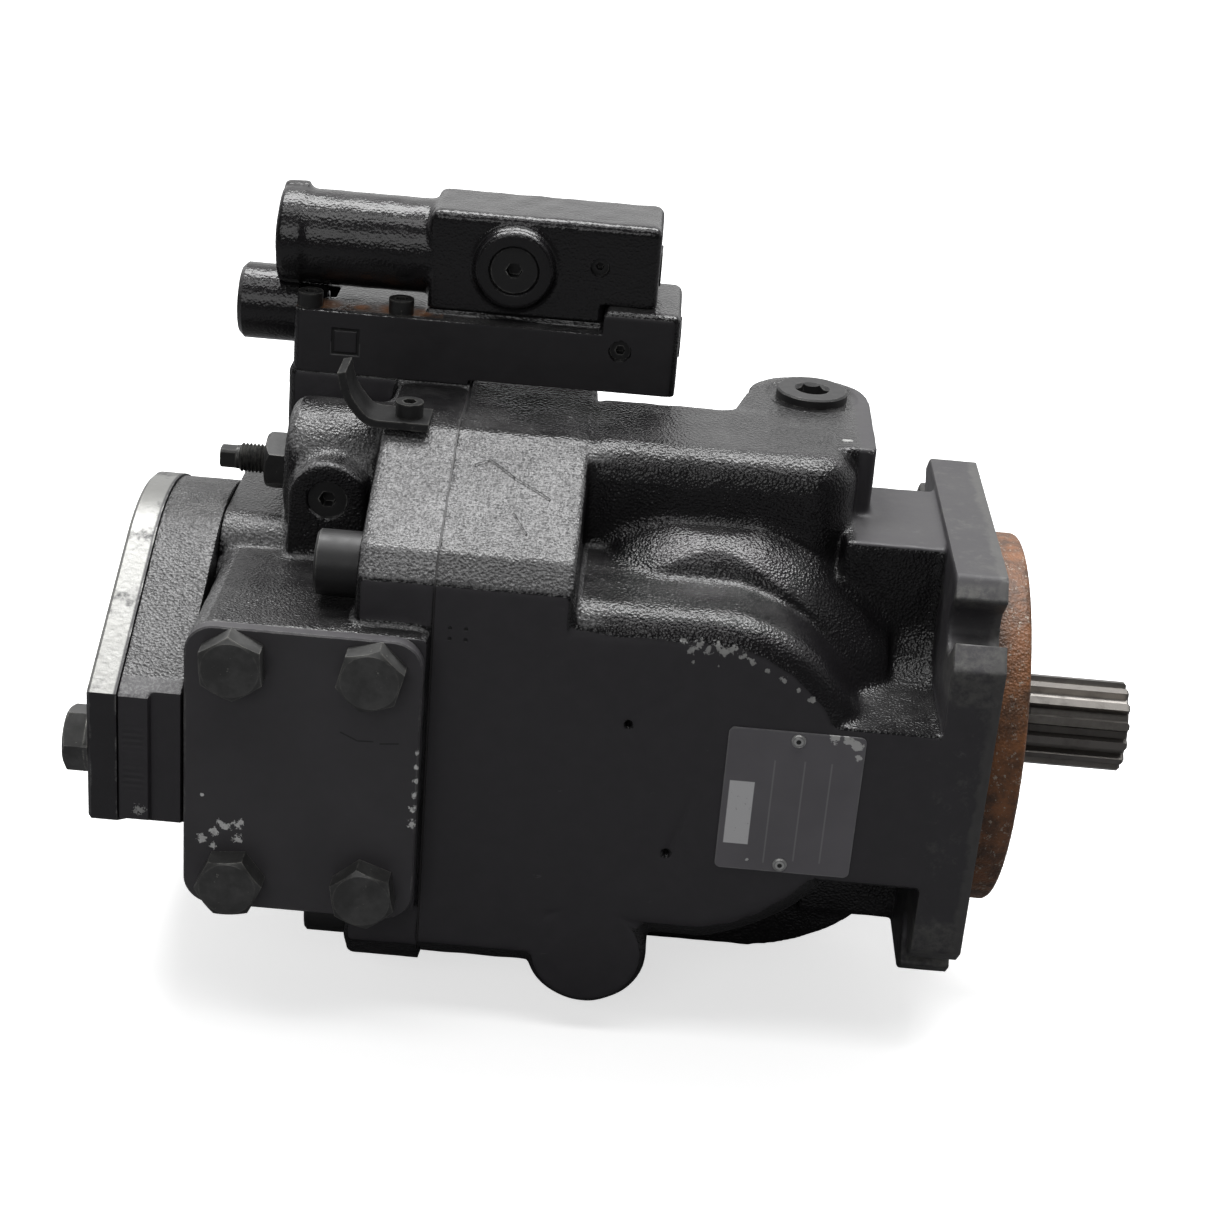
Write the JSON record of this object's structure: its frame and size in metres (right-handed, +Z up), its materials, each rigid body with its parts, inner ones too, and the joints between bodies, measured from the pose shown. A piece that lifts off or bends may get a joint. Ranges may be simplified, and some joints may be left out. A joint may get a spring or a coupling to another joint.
{
  "type": "axial piston pump",
  "caption": "Variable axial piston pump with square pilot flange, splined shaft, piston group on a tilting swashplate, end cap with port covers, and a piggyback spool control.",
  "frame": {"origin": "centre of the mounting flange face, where the pilot starts, on the shaft axis", "axes": "+X along the shaft towards the splined end, +Y to the pressure port side, +Z up, towards the control block"},
  "size_m": [0.3487, 0.1846, 0.247],
  "materials": {
    "cast_black": "rough casting under satin black paint",
    "machined_black": "flat painted face, matt charcoal",
    "bolt_steel": "blackened steel, worn to bare metal on the edges",
    "bare_steel": "ground bare steel",
    "hard_steel": "polished hardened steel",
    "bronze": "bronze",
    "rubber": "nitrile rubber",
    "gasket": "fibre gasket",
    "spring_steel": "spring steel wire",
    "plate": "matt black foil plate without lettering"
  },
  "bodies": {
    "pump_body": {"aux_adapter": "cast_black", "aux_adapter_screws": "bolt_steel", "aux_cover": "cast_black", "aux_cover_bolts": "bolt_steel", "bias_spring": "spring_steel", "bracket_screw": "bolt_steel", "case_drain_plug": "machined_black", "control_base": "cast_black", "control_housing": "cast_black", "control_port_plug": "machined_black", "control_screws": "bolt_steel", "cradle_bearings": "bronze", "end_cap": "cast_black", "end_cap_gasket": "gasket", "end_cap_screws": "machined_black", "front_bearing_outer": "bare_steel", "gauge_plugs": "machined_black", "housing": "cast_black", "limiter_lock_nut": "bolt_steel", "line_bracket": "machined_black", "ls_spring": "spring_steel", "ls_spring_plug": "machined_black", "nameplate": "plate", "nameplate_rivets": "bare_steel", "outlet_cover": "machined_black", "outlet_cover_bolts": "bolt_steel", "pc_spring": "spring_steel", "pc_spring_cap": "cast_black", "rear_bearing_outer": "bare_steel", "shaft_seal": "rubber", "spool_end_plugs": "machined_black", "suction_cover": "machined_black", "suction_cover_bolts": "bolt_steel", "valve_plate": "bronze"},
    "rotating_group": {"drive_shaft": "bare_steel", "cylinder_block": "bare_steel", "ball_guide": "bare_steel", "block_spring": "spring_steel", "front_bearing_inner": "bare_steel", "rear_bearing_inner": "bare_steel", "aux_coupling": "bare_steel"},
    "front_rollers": {"front_bearing_rollers": "hard_steel"},
    "rear_rollers": {"rear_bearing_rollers": "hard_steel"},
    "swashplate": {"swashplate": "bare_steel"},
    "retainer_plate": {"retainer_plate": "bare_steel"},
    "servo_piston": {"servo_piston": "hard_steel"},
    "bias_piston": {"bias_piston": "hard_steel"},
    "limiter_screw": {"limiter_screw": "bolt_steel"},
    "ls_spool": {"ls_spool": "hard_steel"},
    "pc_spool": {"pc_spool": "hard_steel"},
    "piston_top": {"piston_top": "hard_steel"},
    "pistons_40": {"pistons_40": "hard_steel"},
    "pistons_80": {"pistons_80": "hard_steel"},
    "pistons_120": {"pistons_120": "hard_steel"},
    "pistons_160": {"pistons_160": "hard_steel"},
    "slipper_top": {"slipper_top": "bronze"},
    "slippers_40": {"slippers_40": "bronze"},
    "slippers_80": {"slippers_80": "bronze"},
    "slippers_120": {"slippers_120": "bronze"},
    "slippers_160": {"slippers_160": "bronze"}
  },
  "joints": [
    {"name": "shaft_spin", "type": "hinge", "parent": "pump_body", "child": "rotating_group", "pos_m": [0, 0, 0], "axis": [1, 0, 0], "range_deg": [-360, 360]},
    {"name": "front_rollers_orbit", "type": "hinge", "parent": "pump_body", "child": "front_rollers", "pos_m": [-0.017, 0, 0], "axis": [1, 0, 0], "range_deg": [-160, 160]},
    {"name": "rear_rollers_orbit", "type": "hinge", "parent": "pump_body", "child": "rear_rollers", "pos_m": [-0.188, 0, 0], "axis": [1, 0, 0], "range_deg": [-160, 160]},
    {"name": "swash_tilt", "type": "hinge", "parent": "pump_body", "child": "swashplate", "pos_m": [-0.07, 0, 0], "axis": [0, -1, 0], "range_deg": [0, 17]},
    {"name": "retainer_spin", "type": "hinge", "parent": "swashplate", "child": "retainer_plate", "pos_m": [-0.07, 0, 0], "axis": [1, 0, 0], "range_deg": [-360, 360]},
    {"name": "servo_stroke", "type": "slide", "parent": "pump_body", "child": "servo_piston", "axis": [1, 0, 0], "range_m": [-0.022, 0]},
    {"name": "bias_stroke", "type": "slide", "parent": "pump_body", "child": "bias_piston", "axis": [1, 0, 0], "range_m": [0, 0.0198], "deforming": ["bias_spring"]},
    {"name": "limiter_adjust", "type": "slide", "parent": "pump_body", "child": "limiter_screw", "axis": [1, 0, 0], "range_m": [-0.003, 0.003]},
    {"name": "ls_spool_shift", "type": "slide", "parent": "pump_body", "child": "ls_spool", "axis": [1, 0, 0], "range_m": [-0.0025, 0.0025], "deforming": ["ls_spring"]},
    {"name": "pc_spool_shift", "type": "slide", "parent": "pump_body", "child": "pc_spool", "axis": [1, 0, 0], "range_m": [-0.0025, 0.0025], "deforming": ["pc_spring"]},
    {"name": "piston_top_stroke", "type": "slide", "parent": "rotating_group", "child": "piston_top", "axis": [1, 0, 0], "range_m": [-0.01127, 0]},
    {"name": "pistons_40_stroke", "type": "slide", "parent": "rotating_group", "child": "pistons_40", "axis": [1, 0, 0], "range_m": [-0.00864, 0]},
    {"name": "pistons_80_stroke", "type": "slide", "parent": "rotating_group", "child": "pistons_80", "axis": [1, 0, 0], "range_m": [-0.00196, 0]},
    {"name": "pistons_120_stroke", "type": "slide", "parent": "rotating_group", "child": "pistons_120", "axis": [1, 0, 0], "range_m": [0, 0.00564]},
    {"name": "pistons_160_stroke", "type": "slide", "parent": "rotating_group", "child": "pistons_160", "axis": [1, 0, 0], "range_m": [0, 0.0106]},
    {"name": "slipper_top_tilt", "type": "hinge", "parent": "piston_top", "child": "slipper_top", "pos_m": [-0.07, 0, 0.0368], "axis": [0, -1, 0], "range_deg": [0, 17]},
    {"name": "slippers_40_tilt", "type": "hinge", "parent": "pistons_40", "child": "slippers_40", "pos_m": [-0.07, 0, 0.02819], "axis": [0, -1, 0], "range_deg": [0, 17]},
    {"name": "slippers_80_tilt", "type": "hinge", "parent": "pistons_80", "child": "slippers_80", "pos_m": [-0.07, 0, 0.00639], "axis": [0, -1, 0], "range_deg": [0, 17]},
    {"name": "slippers_120_tilt", "type": "hinge", "parent": "pistons_120", "child": "slippers_120", "pos_m": [-0.07, 0, -0.0184], "axis": [0, -1, 0], "range_deg": [0, 17]},
    {"name": "slippers_160_tilt", "type": "hinge", "parent": "pistons_160", "child": "slippers_160", "pos_m": [-0.07, 0, -0.03458], "axis": [0, -1, 0], "range_deg": [0, 17]}
  ],
  "couplings": [
    {"joint": "front_rollers_orbit", "follows": "shaft_spin", "ratio": 0.4375},
    {"joint": "rear_rollers_orbit", "follows": "shaft_spin", "ratio": 0.4342},
    {"joint": "retainer_spin", "follows": "shaft_spin", "ratio": 1},
    {"joint": "servo_stroke", "follows": "swash_tilt", "m_per_rad": -0.07367},
    {"joint": "bias_stroke", "follows": "swash_tilt", "m_per_rad": 0.06621},
    {"joint": "piston_top_stroke", "follows": "swash_tilt", "m_per_rad": -0.037919},
    {"joint": "pistons_40_stroke", "follows": "swash_tilt", "m_per_rad": -0.029048},
    {"joint": "pistons_80_stroke", "follows": "swash_tilt", "m_per_rad": -0.006585},
    {"joint": "pistons_120_stroke", "follows": "swash_tilt", "m_per_rad": 0.01896},
    {"joint": "pistons_160_stroke", "follows": "swash_tilt", "m_per_rad": 0.035633},
    {"joint": "slipper_top_tilt", "follows": "swash_tilt", "ratio": 1},
    {"joint": "slippers_40_tilt", "follows": "swash_tilt", "ratio": 1},
    {"joint": "slippers_80_tilt", "follows": "swash_tilt", "ratio": 1},
    {"joint": "slippers_120_tilt", "follows": "swash_tilt", "ratio": 1},
    {"joint": "slippers_160_tilt", "follows": "swash_tilt", "ratio": 1}
  ]
}
